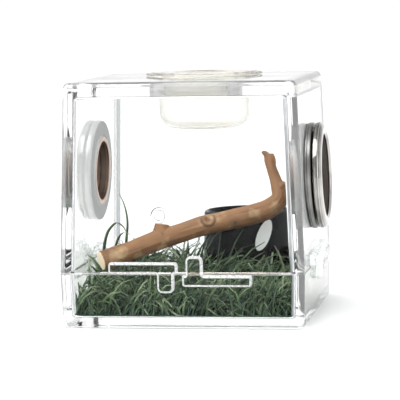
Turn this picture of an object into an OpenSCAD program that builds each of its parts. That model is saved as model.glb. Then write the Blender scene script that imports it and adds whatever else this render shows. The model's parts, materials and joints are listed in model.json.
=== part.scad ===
// Clear two-part display case for small creatures: a shallow tray with artificial
// turf, a lift-off hood with two screened screw vents, a hanging feeding cup in the
// roof and a watering plug at the back. Millimetres, +Z up, origin at the middle of
// the underside, front towards -Y. Tray and hood meet at split_h.

/* [Case] */
// Outer width and depth where the tray meets the hood
case_w = 100; // [96:0.5:110]
// Height from the underside to the top of the roof
case_h = 99.6; // [95:0.2:110]
// Height of the tray, which is where the hood sits on it
split_h = 22.5; // [20:0.5:26]
// Outer width of the hood at its roof
roof_w = 95; // [92:0.5:98]
// Outer width of the tray at its underside
foot_w = 98.6; // [96:0.2:99.4]
// Thickness of the hood's side walls
wall = 4.2; // [3:0.1:4.5]
// Thickness of the tray's side walls
tray_wall = 3.6; // [3:0.1:4.5]
// Thickness of the tray's floor
floor_t = 4.2; // [3:0.1:5]
// Thickness of the hood's roof
roof_t = 5.9; // [4:0.1:6.5]
// Radius of the upright corners
corner_r = 3; // [2:0.5:4]

/* [Locating lugs] */
// Length of the rib that each lug has along the joint line
rib_len = 28.3; // [20:0.1:34]
// Height of the rib
rib_h = 4.6; // [3:0.1:6]
// Distance from the middle of the side to the near end of the rib
rib_gap = 0.9; // [0.6:0.1:3]
// Width of the tab that crosses the joint line
tab_w = 6.9; // [4:0.1:9]
// How far the tab reaches past the joint line
tab_reach = 7.5; // [5:0.5:9]
// Thickness of rib and tab in front of the wall
lug_t = 2.2; // [1.5:0.1:3]

/* [Vents] */
// Height of the vent's middle above the underside
vent_z = 59; // [52:0.5:64]
// Distance of each vent from the middle of the depth, the right one forwards
vent_y = 16; // [8:0.5:18]
// Radius of the flange and of the screw ring
vent_r = 21.8; // [20:0.2:23]
// Radius of the screened opening
screen_r = 16.9; // [15:0.1:17.4]
// Radius of the threaded tube through the wall
tube_r = 14.9; // [13:0.1:15.2]
// Radius of the air passage inside the tube
passage_r = 12.6; // [11:0.1:13]

/* [Feeding cup] */
// Distance of the cup behind the middle of the roof
cup_y = 18; // [12:0.5:18.5]
// Outer radius of the cup
cup_r = 19.5; // [16:0.1:20]
// Depth of the cup below the roof's top face
cup_depth = 22.6; // [14:0.2:26]
// Radius of the cup's flange on the roof
flange_r = 25; // [23:0.5:25.5]

/* [Contents] */
// Height of the turf pile above its backing
pile_h = 16; // [12:0.5:16.5]
// Radius of the hide at its foot
hide_r = 20; // [16:0.5:20]
// Thickest radius of the branch
branch_r = 4.3; // [3:0.1:4.5]

/* [Hidden] */
$fn = 96;
eps = 0.01;
clear_col = [0.86, 0.92, 0.93, 0.35];

// Draft of the walls: the hood narrows upwards, the tray narrows downwards
hood_slope = (case_w - roof_w) / 2 / (case_h - split_h);
tray_slope = (case_w - foot_w) / 2 / split_h;
function hood_half(z) = case_w / 2 - hood_slope * (z - split_h);
function tray_half(z) = case_w / 2 - tray_slope * (split_h - z);
draft = atan(hood_slope);

// Outer edge rounding of the roof, and of the tray's underside
roof_r = 2.4;
foot_r = 1.2;
// Size of the inside fillet round the tray's floor and under the roof
fillet = 1;

// Lugs: gap in front of the wall that the tab reaches over, and its rounding
tab_gap = 0.1;
tab_corner_r = 2.2;
// How far the tab's root stays below the rib's far edge
tab_top_drop = 0.8;
rib_corner_r = 1;
// Distance from the joint line to the rib's near edge
rib_step = 0.3;
tab_start = rib_gap + 1.5;

// Vent stack, measured outwards from the wall's outer face
gasket_t = 0.6;
gasket_inset = 0.4;
gasket_bore_gap = 0.3;
vent_flange_t = 2.4;
boss_t = 2.6;
boss_r = screen_r + 1.3;
thread_gap = 0.05;
groove = 0.7;
screen_t = 0.4;
screen_gap = 0.2;
lip_gap = 0.05;
ring_lip = 1.2;
tube_edge = 0.4;
flange_edge = 0.5;
ring_bevel = 1.3;
ring_edge = 0.7;
ring_start = gasket_t + vent_flange_t + groove;
screen_at = gasket_t + vent_flange_t + boss_t;
ring_end = screen_at + screen_t + ring_lip;
wall_hole_r = tube_r + 0.1;

// Feeding cup stack, measured upwards from the roof
seal_t = 0.3;
seal_inset = 1;
seal_bore_gap = 0.5;
flange_t = 0.8;
lid_t = 0.4;
cup_wall = 1.2;
cup_corner_r = 7;
cup_gap = 0.1;
lid_r = 22;
lid_dish_r = 13;
lid_skirt = 4.4;
lid_floor_t = 1.2;
grip_w = 3;
cup_top = case_h + seal_t + flange_t;

// Watering plug in the back wall
plug_x = -26.8;
plug_z = 35.5;
plug_r = 2.9;
plug_hole_r = plug_r + 0.05;
plug_edge = 0.6;
plug_head_r = 3.9;
plug_head_t = 2;
plug_tail = 2.2;

// Turf
backing_t = 1;
backing_gap = 0.2;
pile_inset = 2;
backing_top = floor_t + backing_t;

// Hide: a squat round cave with an arched way in, whose top is a shallow dish
hide_pos = [17.5, 22.5, backing_top];
hide_h = 35.8;
hide_taper = 1;
hide_wall = 1.8;
hide_edge_r = 1.2;
hide_rim_w = 1.6;
hide_dish_depth = 2;
hide_dish_slope = 1;
hide_door_r = 8.5;
hide_door_arch_z = 12.5;
hide_door_turn = 62;
hide_clearance = 0.3;
badge_size = [5.8, 14];
badge_t = 0.5;
badge_turn = 28;
badge_z = 26.6;
badge_lean = -24;

// Branch: [middle of the stick, share of its thickest radius], from the sawn end to the tip
branch_points = [
    [[-36.6, -25, 25.2], 0.95],
    [[-26.8, -19, 27.8], 1],
    [[-14.2, -13, 32.3], 1],
    [[2.3, -7, 37], 0.97],
    [[20.8, -2, 40.9], 0.97],
    [[33.5, 2, 46.3], 0.95],
    [[32.3, 5, 56.1], 0.66],
    [[29.6, 8, 63.5], 0.68]
];
stub_base = [[-14.5, -12.6, 33.5], 0.8];
stub_tip = [[-14.2, -12, 37.6], 0.5];

// A block with upright rounded corners whose half-width changes from level to level
module drafted_block(levels, r) {
    hull()
        for (level = levels, sx = [-1, 1], sy = [-1, 1])
            translate([sx * (level[1] - r), sy * (level[1] - r), level[0]])
                cylinder(r = r, h = eps, $fn = 32);
}

// A rectangle with rounded corners, standing with its lower left corner at the origin
module rounded_rect(size, r) {
    translate([r, 0]) square([size[0] - 2 * r, size[1]]);
    translate([0, r]) square([size[0], size[1] - 2 * r]);
    for (x = [r, size[0] - r], y = [r, size[1] - r])
        translate([x, y]) circle(r = r, $fn = 24);
}

module tube(r_out, r_in, h) {
    difference() {
        cylinder(r = r_out, h = h);
        translate([0, 0, -1]) cylinder(r = r_in, h = h + 2);
    }
}

// ---- case ----

module base_tray() {
    color(clear_col)
        difference() {
            drafted_block([[0, tray_half(0) - foot_r * 0.7], [foot_r * 0.35, tray_half(0) - foot_r * 0.2],
                           [foot_r, tray_half(foot_r)], [split_h - eps, case_w / 2]], corner_r);
            drafted_block([[floor_t, tray_half(floor_t) - tray_wall - fillet],
                           [floor_t + fillet, tray_half(floor_t + fillet) - tray_wall],
                           [split_h + 1, tray_half(split_h + 1) - tray_wall]], corner_r - 1);
        }
}

module hood() {
    roof_start = case_h - roof_r;
    inner_top = case_h - roof_t;
    reach = 3;
    hole_h = wall + 2 * reach;
    color(clear_col)
        difference() {
            drafted_block([[split_h, case_w / 2], [roof_start, hood_half(roof_start)],
                           [case_h - roof_r * 0.3, hood_half(roof_start) - roof_r * 0.3],
                           [case_h - eps, hood_half(roof_start) - roof_r]], corner_r);
            drafted_block([[split_h - 1, hood_half(split_h - 1) - wall],
                           [inner_top - fillet, hood_half(inner_top - fillet) - wall],
                           [inner_top - eps, hood_half(inner_top) - wall - fillet]], corner_r - 1);
            translate([0, cup_y, inner_top - reach]) cylinder(r = cup_r + cup_gap, h = roof_t + 2 * reach);
            for (side = [0, 180])
                rotate(side) at_vent() translate([0, 0, -wall - reach])
                    cylinder(r = wall_hole_r, h = hole_h);
            at_plug() translate([0, 0, -wall - reach]) cylinder(r = plug_hole_r, h = hole_h);
        }
}

// ---- locating lugs, drawn on the front side ----

// The lug seen from the front, reaching down from the joint line at z = 0
module lug_face() {
    translate([-rib_gap - rib_len, rib_step]) rounded_rect([rib_len, rib_h], rib_corner_r);
    translate([-tab_start - tab_w, -tab_reach])
        rounded_rect([tab_w, tab_reach + rib_step + rib_h - tab_top_drop], tab_corner_r);
    translate([-tab_start - tab_w, -tab_reach + tab_corner_r])
        square([tab_w, tab_reach - tab_corner_r + rib_step + rib_corner_r]);
}

// A lug on a wall that leans back by slope away from the joint line
module lug(slope) {
    face_y = case_w / 2 + tab_gap;
    rib_top = rib_step + rib_h;
    translate([0, -face_y, 0]) rotate([90, 0, 0]) linear_extrude(lug_t) lug_face();
    translate([-rib_gap - rib_len + rib_corner_r, 0, 0]) rotate([90, 0, 90])
        linear_extrude(rib_len - 2 * rib_corner_r)
            polygon([[-face_y, rib_step], [-case_w / 2 + slope * rib_step, rib_step],
                     [-case_w / 2 + slope * rib_top, rib_top], [-face_y, rib_top]]);
}

module hood_lug(turn) {
    color(clear_col) rotate(turn) translate([0, 0, split_h]) lug(hood_slope);
}

module base_lug(turn) {
    color(clear_col) rotate(turn) translate([0, 0, split_h]) rotate([0, 180, 0]) lug(tray_slope);
}

// ---- vents, drawn with the wall's outer face at z = 0 and +z outwards ----

module at_vent() {
    translate([hood_half(vent_z), -vent_y, vent_z]) rotate([0, 90 - draft, 0]) children();
}

module vent_gasket(side) {
    color("whitesmoke") rotate(side) at_vent()
        tube(vent_r - gasket_inset, wall_hole_r + gasket_bore_gap, gasket_t);
}

// The tube ends flush with the wall's inner face
module vent_body(side) {
    flange_end = gasket_t + vent_flange_t;
    funnel = 1;
    color("silver") rotate(side) at_vent()
        rotate_extrude()
            polygon([[passage_r, -wall], [tube_r - tube_edge, -wall], [tube_r, -wall + tube_edge],
                     [tube_r, gasket_t], [vent_r - flange_edge, gasket_t], [vent_r, gasket_t + flange_edge],
                     [vent_r, flange_end - flange_edge], [vent_r - flange_edge, flange_end],
                     [boss_r, flange_end], [boss_r, screen_at], [screen_r, screen_at],
                     [passage_r, flange_end - funnel]]);
}

module vent_mesh(side) {
    color("dimgray") rotate(side) at_vent() translate([0, 0, screen_at])
        cylinder(r = boss_r - screen_gap, h = screen_t);
}

module vent_ring(side) {
    bore_r = boss_r + thread_gap;
    lip_at = screen_at + screen_t + lip_gap;
    color("silver") rotate(side) at_vent()
        rotate_extrude()
            polygon([[bore_r, ring_start], [vent_r - flange_edge, ring_start],
                     [vent_r, ring_start + flange_edge], [vent_r, ring_end - ring_bevel],
                     [vent_r - ring_bevel, ring_end],
                     [screen_r + ring_edge, ring_end], [screen_r, ring_end - ring_edge],
                     [screen_r, lip_at], [bore_r, lip_at]]);
}

// ---- feeding cup ----

module cup_seal() {
    color("whitesmoke") translate([0, cup_y, case_h])
        tube(flange_r - seal_inset, cup_r + seal_bore_gap, seal_t);
}

// Half outline of a round-bottomed cup: radius r, bottom at z, corner radius c, open at top
function cup_outline(r, bottom, c, top) = concat(
    [[0, bottom]],
    [for (turn = [0 : 15 : 90]) [r - c + c * sin(turn), bottom + c - c * cos(turn)]],
    [[r, top]]
);

module feeding_cup() {
    bottom = case_h - cup_depth;
    outside = cup_outline(cup_r, bottom, cup_corner_r, cup_top);
    inside = cup_outline(cup_r - cup_wall, bottom + cup_wall, cup_corner_r - cup_wall, cup_top + 1);
    color([0.85, 0.81, 0.74, 0.6]) translate([0, cup_y, 0])
        rotate_extrude()
            difference() {
                union() {
                    polygon(concat(outside, [[0, cup_top]]));
                    translate([0, case_h + seal_t]) square([flange_r, flange_t]);
                }
                polygon(concat(inside, [[0, cup_top + 1]]));
            }
}

module cup_lid() {
    skirt_r = cup_r - cup_wall - cup_gap;
    dish = lid_skirt - lid_floor_t + lid_t;
    color([0.88, 0.85, 0.79, 0.6]) translate([0, cup_y, cup_top]) {
        difference() {
            union() {
                cylinder(r = lid_r, h = lid_t);
                translate([0, 0, -lid_skirt]) cylinder(r = skirt_r, h = lid_skirt + eps);
            }
            translate([0, 0, lid_t - dish]) cylinder(r = lid_dish_r, h = dish + 1);
        }
        intersection() {
            translate([-lid_dish_r, -grip_w / 2, lid_t - dish - eps]) cube([2 * lid_dish_r, grip_w, dish]);
            translate([0, 0, -lid_skirt]) cylinder(r = lid_dish_r + eps, h = lid_skirt + lid_t);
        }
    }
}

// ---- watering plug ----

module at_plug() {
    translate([plug_x, hood_half(plug_z), plug_z]) rotate([draft - 90, 0, 0]) children();
}

module watering_plug() {
    color(clear_col) at_plug()
        rotate_extrude()
            polygon([[0, -wall - plug_tail], [plug_r - plug_edge, -wall - plug_tail],
                     [plug_r, -wall - plug_tail + plug_edge], [plug_r, 0], [plug_head_r, 0],
                     [plug_head_r, plug_head_t - plug_edge], [plug_head_r - plug_edge, plug_head_t],
                     [0, plug_head_t]]);
}

// ---- contents ----

module turf_backing() {
    half = tray_half(floor_t) - tray_wall - fillet - backing_gap;
    color("darkolivegreen") translate([-half, -half, floor_t])
        linear_extrude(backing_t) rounded_rect([2 * half, 2 * half], corner_r);
}

module turf_pile() {
    half = tray_half(floor_t) - tray_wall - pile_inset;
    color("olivedrab") translate([0, 0, backing_top])
        difference() {
            translate([-half, -half, 0]) linear_extrude(pile_h)
                rounded_rect([2 * half, 2 * half], corner_r);
            translate([hide_pos[0], hide_pos[1], -1])
                cylinder(r = hide_r + hide_clearance, h = pile_h + 2);
        }
}

// A round stretch of the branch between two points
module branch_stretch(from, to) {
    hull()
        for (point = [from, to])
            translate(point[0]) sphere(r = branch_r * point[1], $fn = 20);
}

module branch() {
    color("peru") {
        for (i = [0 : len(branch_points) - 2])
            branch_stretch(branch_points[i], branch_points[i + 1]);
        branch_stretch(stub_base, stub_tip);
    }
}

function hide_radius(z) = hide_r - hide_taper * z / hide_h;

// Half section of the hide's shell: outside, rim, dish and inside
function hide_section() =
    let (
        shoulder = hide_h - hide_edge_r,
        dish_z = hide_h - hide_dish_depth,
        dish_r = hide_radius(hide_h) - hide_rim_w,
        ceiling = dish_z - hide_wall
    )
    concat(
        [[hide_r, 0]],
        [for (turn = [0 : 15 : 90])
            [hide_radius(shoulder) - hide_edge_r * (1 - cos(turn)), shoulder + hide_edge_r * sin(turn)]],
        [[dish_r, hide_h], [dish_r - hide_dish_slope, dish_z], [0, dish_z], [0, ceiling]],
        [[hide_radius(ceiling) - hide_wall, ceiling], [hide_r - hide_wall, 0]]
    );

module hide() {
    reach = hide_r + 5;
    color([0.08, 0.08, 0.08]) translate(hide_pos)
        difference() {
            rotate_extrude() polygon(hide_section());
            rotate(hide_door_turn) rotate([90, 0, 0]) linear_extrude(reach) {
                translate([0, hide_door_arch_z]) circle(r = hide_door_r);
                translate([-hide_door_r, -1]) square([2 * hide_door_r, hide_door_arch_z + 1]);
            }
        }
}

module hide_badge() {
    top_r = hide_r - hide_taper;
    color("white") translate(hide_pos)
        intersection() {
            difference() {
                cylinder(r1 = hide_r + badge_t, r2 = top_r + badge_t, h = hide_h);
                cylinder(r1 = hide_r, r2 = top_r, h = hide_h);
            }
            rotate(badge_turn) translate([0, 0, badge_z]) rotate([90, 0, 0]) rotate(badge_lean)
                linear_extrude(2 * hide_r) scale([badge_size[0], badge_size[1]]) circle(d = 1);
        }
}

base_tray();
base_lug(0);  // base_lug_front
base_lug(90);  // base_lug_right
base_lug(180);  // base_lug_back
base_lug(270);  // base_lug_left
turf_backing();
turf_pile();
branch();
hide();
hide_badge();
hood();
hood_lug(0);  // hood_lug_front
hood_lug(90);  // hood_lug_right
hood_lug(180);  // hood_lug_back
hood_lug(270);  // hood_lug_left
vent_body(0);  // vent_body_right
vent_gasket(0);  // vent_gasket_right
vent_mesh(0);  // vent_mesh_right
vent_ring(0);  // vent_ring_right
vent_body(180);  // vent_body_left
vent_gasket(180);  // vent_gasket_left
vent_mesh(180);  // vent_mesh_left
vent_ring(180);  // vent_ring_left
feeding_cup();
cup_seal();
cup_lid();
watering_plug();
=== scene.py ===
"""The looks of a clear keeping box: moulded plastic case, steel screw vents, a roof cup,
artificial turf, a peeled stick and a black hide. Sizes are in metres, the row frame is +Z up
with the front towards -Y. Every piece rides on the CAD body that its CAD node belongs to."""

import bmesh
import bpy
import json
import math
import random
from mathutils import Matrix, Vector, noise


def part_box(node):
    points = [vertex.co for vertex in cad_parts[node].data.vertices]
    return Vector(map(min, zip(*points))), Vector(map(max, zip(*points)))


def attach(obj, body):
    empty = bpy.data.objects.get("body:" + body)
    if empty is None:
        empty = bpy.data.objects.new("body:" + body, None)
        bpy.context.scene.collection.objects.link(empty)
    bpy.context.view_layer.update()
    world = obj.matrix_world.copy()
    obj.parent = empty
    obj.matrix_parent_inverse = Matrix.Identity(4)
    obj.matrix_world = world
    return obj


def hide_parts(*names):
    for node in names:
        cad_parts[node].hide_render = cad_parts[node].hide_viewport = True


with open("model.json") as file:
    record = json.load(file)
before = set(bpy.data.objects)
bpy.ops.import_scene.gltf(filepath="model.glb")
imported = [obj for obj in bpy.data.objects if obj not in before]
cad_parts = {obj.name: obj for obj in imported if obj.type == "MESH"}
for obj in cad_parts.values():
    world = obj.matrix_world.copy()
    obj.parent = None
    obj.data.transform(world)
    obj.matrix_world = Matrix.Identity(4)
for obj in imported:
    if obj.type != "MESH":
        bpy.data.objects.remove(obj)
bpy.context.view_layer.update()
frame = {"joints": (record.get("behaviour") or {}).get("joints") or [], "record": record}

MM = 0.001
SEED = 11

# ---------------------------------------------------------------- places from the frame

TRAY_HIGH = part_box("base_tray")[1]
HOOD_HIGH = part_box("hood")[1]
BACKING_LOW, BACKING_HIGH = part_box("turf_backing")
PILE_LOW, PILE_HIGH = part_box("turf_pile")
HIDE_LOW, HIDE_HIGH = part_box("hide")
CUP_LOW, CUP_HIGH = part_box("feeding_cup")
SEAL_LOW, SEAL_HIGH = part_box("cup_seal")
LID_LOW, LID_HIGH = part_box("cup_lid")

CASE_HALF = TRAY_HIGH.x
SPLIT_Z = TRAY_HIGH.z
ROOF_Z = HOOD_HIGH.z
BODY_OF = {n: b for b, names in frame["record"]["behaviour"]["bodies"].items() for n in names}
JOINT = {j["name"]: j for j in frame["joints"]}

# Case walls: the hood narrows upwards and the tray narrows downwards
HOOD_DRAFT = 2.5 * MM / (ROOF_Z - SPLIT_Z)
TRAY_DRAFT = 0.7 * MM / SPLIT_Z
HOOD_WALL = 4.2 * MM
TRAY_WALL = 3.6 * MM
ROOF_T = 5.9 * MM
FLOOR_T = BACKING_LOW.z
CORNER_R = 3 * MM
# Chamfer on both sides of the joint line, which makes the line show
JOINT_EDGE = 0.4 * MM


def hood_half(z):
    """Half the hood's outer width at height z."""
    return CASE_HALF - HOOD_DRAFT * (z - SPLIT_Z)


def tray_half(z):
    """Half the tray's outer width at height z."""
    return CASE_HALF - TRAY_DRAFT * (SPLIT_Z - z)


# ---------------------------------------------------------------- mesh helpers


def make_object(name, mesh, materials, node=None, body=None):
    """Links a mesh as a piece that stands for a CAD node, or only rides on a body."""
    piece = bpy.data.objects.new(name, mesh)
    bpy.context.scene.collection.objects.link(piece)
    for material in materials:
        mesh.materials.append(material)
    if node:
        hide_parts(node)
        body = body or BODY_OF[node]
    if body:
        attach(piece, body)
    return piece


def mesh_from(name, verts, faces):
    """A mesh with its normals turned outwards."""
    mesh = bpy.data.meshes.new(name)
    mesh.from_pydata([tuple(v) for v in verts], [], faces)
    work = bmesh.new()
    work.from_mesh(mesh)
    bmesh.ops.remove_doubles(work, verts=work.verts, dist=1e-7)
    bmesh.ops.recalc_face_normals(work, faces=work.faces)
    work.to_mesh(mesh)
    work.free()
    return mesh


def apply_modifiers(piece):
    """Puts the result of a piece's modifiers into its mesh."""
    graph = bpy.context.evaluated_depsgraph_get()
    result = bpy.data.meshes.new_from_object(piece.evaluated_get(graph))
    piece.modifiers.clear()
    piece.data = result


def smooth(piece):
    piece.data.polygons.foreach_set("use_smooth", [True] * len(piece.data.polygons))


def shade(piece, angle=35):
    """Smooth shading that keeps edges sharper than angle, with flat faces kept flat."""
    smooth(piece)
    piece.data.set_sharp_from_angle(angle=math.radians(angle))
    weighted = piece.modifiers.new("weighted", "WEIGHTED_NORMAL")
    weighted.keep_sharp = True
    weighted.weight = 60
    apply_modifiers(piece)


def bevel(piece, width, segments=3, angle=30):
    """Rounds every edge that is sharper than angle."""
    rounding = piece.modifiers.new("rounding", "BEVEL")
    rounding.width = width
    rounding.segments = segments
    rounding.limit_method = "ANGLE"
    rounding.angle_limit = math.radians(angle)
    rounding.use_clamp_overlap = True
    rounding.harden_normals = False
    apply_modifiers(piece)


def cut(piece, *cutters):
    """Subtracts each cutter object from piece and removes it."""
    for cutter in cutters:
        hole = piece.modifiers.new("hole", "BOOLEAN")
        hole.operation = "DIFFERENCE"
        hole.solver = "EXACT"
        hole.object = cutter
        apply_modifiers(piece)
        bpy.data.objects.remove(cutter)


def rounded_square(half, r, z, steps=8):
    """Points round a square with rounded corners, anticlockwise seen from above."""
    ring = []
    for quarter in range(4):
        middle = math.radians(90 * quarter + 45)
        across, along = (math.copysign(half - r, way) for way in (math.cos(middle), math.sin(middle)))
        corner = Vector((across, along, z))
        for i in range(steps + 1):
            turn = math.radians(90 * quarter + 90 * i / steps)
            ring.append(corner + Vector((r * math.cos(turn), r * math.sin(turn), 0)))
    return ring


def bridge(rings, first=0):
    """Quads between rings of equal length, whose points are numbered one ring after another."""
    n = len(rings[0])
    faces = []
    for k in range(len(rings) - 1):
        a, b = first + k * n, first + (k + 1) * n
        faces += [(a + i, a + (i + 1) % n, b + (i + 1) % n, b + i) for i in range(n)]
    return faces


def capped(rings, first=0):
    """Verts and faces of a tube through rings of equal length, closed at both ends."""
    n = len(rings[0])
    verts = [v for ring in rings for v in ring]
    end = first + len(verts)
    return verts, bridge(rings, first) + [tuple(range(first, first + n)), tuple(range(end - n, end))]


def open_box(name, outer, inner):
    """A box wall with one open end: both lists of rings run from the open end to the closed end."""
    return mesh_from(name, *capped(list(reversed(inner)) + outer))


def arc(radius, steps):
    """(1 - cos, sin) of a quarter arc's steps, times radius."""
    turns = [math.radians(90 * i / steps) for i in range(steps + 1)]
    return [(radius * (1 - math.cos(t)), radius * math.sin(t)) for t in turns]


def lathe(name, profile, place, segments=128):
    """A solid turned about the local Z axis of place, from the (radius, z) points round its section."""
    verts = []
    rings = []
    for radius, z in profile:
        if radius < 1e-7:
            rings.append([len(verts)])
            verts.append(place @ Vector((0, 0, z)))
            continue
        rings.append(list(range(len(verts), len(verts) + segments)))
        for i in range(segments):
            turn = 2 * math.pi * i / segments
            verts.append(place @ Vector((radius * math.cos(turn), radius * math.sin(turn), z)))
    faces = []
    closed = len(rings[0]) > 1
    pairs = list(zip(rings, rings[1:] + rings[:1])) if closed else list(zip(rings, rings[1:]))
    for a, b in pairs:
        for i in range(segments):
            j = (i + 1) % segments
            quad = [a[i % len(a)], a[j % len(a)], b[j % len(b)], b[i % len(b)]]
            face = tuple(dict.fromkeys(quad))
            if len(face) > 2:
                faces.append(face)
    return mesh_from(name, verts, faces)


def rounded_outline(corners, steps=6):
    """A closed outline with its corners rounded. corners holds (x, y, radius)."""
    points = []
    count = len(corners)
    for i, (x, y, r) in enumerate(corners):
        here = Vector((x, y))
        before = (Vector(corners[i - 1][:2]) - here).normalized()
        after = (Vector(corners[(i + 1) % count][:2]) - here).normalized()
        if r <= 0:
            points.append(here)
            continue
        half = before.angle(after) / 2
        centre = here + (before + after).normalized() * (r / math.sin(half))
        start, end = here + before * (r / math.tan(half)), here + after * (r / math.tan(half))
        a = start - centre
        sweep = a.angle_signed(end - centre)
        for k in range(steps + 1):
            turn = -sweep * k / steps
            c, s = math.cos(turn), math.sin(turn)
            points.append(centre + Vector((a.x * c - a.y * s, a.x * s + a.y * c)))
    return points


def cylinder_cutter(radius, place, low, high, segments=96):
    """A round cutter along the local Z axis of place."""
    mesh = lathe("cutter", [(0, low), (radius, low), (radius, high), (0, high)], place, segments)
    return make_object("cutter", mesh, [])


# ---------------------------------------------------------------- materials


# Bounces after which light that is caught between a clear wall's faces is let out
TRAPPED_AFTER = 7
ACRYLIC_IOR = 1.49


class Shader:
    """A small helper for building one material's nodes."""

    def __init__(self, name):
        self.material = bpy.data.materials.new(name)
        self.material.use_nodes = True
        self.nodes = self.material.node_tree.nodes
        self.links = self.material.node_tree.links
        self.main = self.nodes["Principled BSDF"]
        self.out = self.nodes["Material Output"]

    def add(self, kind, **values):
        """A node with its properties or its input sockets set."""
        node = self.nodes.new(kind)
        for key, value in values.items():
            if hasattr(node, key):
                setattr(node, key, value)
            else:
                node.inputs[key.replace("_", " ")].default_value = value
        return node

    def set(self, **values):
        """Sets constants on the main shader's sockets."""
        for key, value in values.items():
            self.main.inputs[key.replace("_", " ")].default_value = value

    def link(self, source, target):
        self.links.new(source, target)

    def coordinates(self, scale=(1, 1, 1)):
        """Object coordinates, stretched."""
        where = self.add("ShaderNodeTexCoord")
        mapping = self.add("ShaderNodeMapping", Scale=scale)
        self.link(where.outputs["Object"], mapping.inputs["Vector"])
        return mapping.outputs["Vector"]

    def attribute(self, name):
        return self.add("ShaderNodeAttribute", attribute_name=name)

    def noise(self, vector, scale, detail=3.0, rough=0.5):
        node = self.add("ShaderNodeTexNoise", Scale=scale, Detail=detail, Roughness=rough)
        self.link(vector, node.inputs["Vector"])
        return node.outputs["Fac"]

    def grain(self, scale, detail=3.0):
        """Noise in object coordinates, with this many cells to a metre, all ways alike or along each axis."""
        return self.noise(self.coordinates(scale if isinstance(scale, tuple) else (scale,) * 3), 1.0, detail)

    def colour(self, source):
        self.link(source, self.main.inputs["Base Color"])

    def rough(self, source, low, high):
        """Roughness from low to high as source goes from 0 to 1."""
        self.link(self.spread(source, low, high), self.main.inputs["Roughness"])

    def ramp(self, source, stops):
        node = self.add("ShaderNodeValToRGB")
        elements = node.color_ramp.elements
        while len(elements) < len(stops):
            elements.new(0.5)
        for element, (place, colour) in zip(elements, stops):
            element.position = place
            element.color = (*colour, 1)
        self.link(source, node.inputs["Fac"])
        return node.outputs["Color"]

    def spread(self, source, low, high):
        """Maps 0..1 to low..high."""
        node = self.add("ShaderNodeMapRange")
        node.inputs["To Min"].default_value = low
        node.inputs["To Max"].default_value = high
        self.link(source, node.inputs["Value"])
        return node.outputs["Result"]

    def mix(self, factor, a, b):
        node = self.add("ShaderNodeMix", data_type="RGBA")
        if isinstance(factor, (int, float)):
            node.inputs["Factor"].default_value = factor
        else:
            self.link(factor, node.inputs["Factor"])
        for socket, value in ((node.inputs[6], a), (node.inputs[7], b)):
            if isinstance(value, tuple):
                socket.default_value = (*value, 1)
            else:
                self.link(value, socket)
        return node.outputs[2]

    def bump(self, height, strength, distance):
        node = self.add("ShaderNodeBump", Strength=strength, Distance=distance)
        self.link(height, node.inputs["Height"])
        self.link(node.outputs["Normal"], self.main.inputs["Normal"])

    def open_to_lamps(self, tint):
        """Lets lamp rays through, and light that keeps bouncing inside the wall out again."""
        path = self.add("ShaderNodeLightPath")
        trapped = self.add("ShaderNodeMath", operation="GREATER_THAN")
        trapped.inputs[1].default_value = TRAPPED_AFTER
        self.link(path.outputs["Ray Depth"], trapped.inputs[0])
        either = self.add("ShaderNodeMath", operation="MAXIMUM")
        self.link(path.outputs["Is Shadow Ray"], either.inputs[0])
        self.link(trapped.outputs[0], either.inputs[1])
        through = self.add("ShaderNodeBsdfTransparent", Color=(*tint, 1))
        blend = self.add("ShaderNodeMixShader")
        self.link(either.outputs[0], blend.inputs[0])
        self.link(self.main.outputs["BSDF"], blend.inputs[1])
        self.link(through.outputs["BSDF"], blend.inputs[2])
        self.link(blend.outputs["Shader"], self.out.inputs["Surface"])


def clear_plastic():
    """Polished clear moulding with faint flow lines and hairline wear."""
    s = Shader("clear_plastic")
    s.set(Base_Color=(0.985, 0.995, 0.993, 1), Specular_Tint=(0.12, 0.12, 0.12, 1))
    s.set(Transmission_Weight=1.0, IOR=ACRYLIC_IOR)
    hairs = s.grain((900, 900, 60), 2.0)
    s.rough(hairs, 0.0, 0.035)
    flow = s.grain((28, 28, 14), 1.0)
    s.bump(flow, 0.05, 0.0006)
    s.open_to_lamps((0.97, 0.985, 0.98))
    return s.material


def soft_edge(name, tint, clearness):
    """A rounded edge of the case in a tinted, half-clear scattering colour: the pale one is painted light,
    the grey one painted shade, so the edge reads as a soft line.
    """
    s = Shader(name)
    s.set(Base_Color=(*tint, 1), Specular_Tint=(0.3, 0.3, 0.3, 1))
    s.set(Transmission_Weight=clearness, IOR=ACRYLIC_IOR)
    haze = s.grain((300, 300, 60), 3.0)
    s.rough(haze, 0.05, 0.2)
    s.open_to_lamps((0.95, 0.96, 0.96))
    return s.material


def sawn_plastic_painted_shade():
    """The frosted wall of a hole that was cut in the clear plastic, greyed with painted shade."""
    s = Shader("sawn_plastic_painted_shade")
    # The grey base colour is painted shade over the frosting.
    s.set(Base_Color=(0.62, 0.62, 0.61, 1), Transmission_Weight=0.7, IOR=ACRYLIC_IOR)
    turning = s.grain((400, 400, 4000), 3.0)
    s.rough(turning, 0.3, 0.5)
    s.bump(turning, 0.25, 0.0002)
    s.open_to_lamps((0.93, 0.95, 0.95))
    return s.material


def cup_plastic():
    """Milky translucent moulding, warm grey."""
    s = Shader("cup_plastic")
    s.set(Transmission_Weight=0.95, IOR=1.2, Specular_Tint=(0.5, 0.5, 0.5, 1))
    cloud = s.grain(60, 2.0)
    s.colour(s.ramp(cloud, [(0.3, (0.955, 0.935, 0.90)), (0.7, (0.98, 0.968, 0.945))]))
    s.rough(cloud, 0.2, 0.3)
    s.open_to_lamps((0.93, 0.915, 0.89))
    return s.material


def cup_film():
    """The cup's thin lid, which hardly shows against a pale room."""
    s = Shader("cup_film")
    s.set(Base_Color=(0.99, 0.985, 0.975, 1), Transmission_Weight=1.0, IOR=1.12)
    cloud = s.grain(60, 2.0)
    s.rough(cloud, 0.05, 0.12)
    s.open_to_lamps((0.97, 0.965, 0.95))
    return s.material


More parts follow.
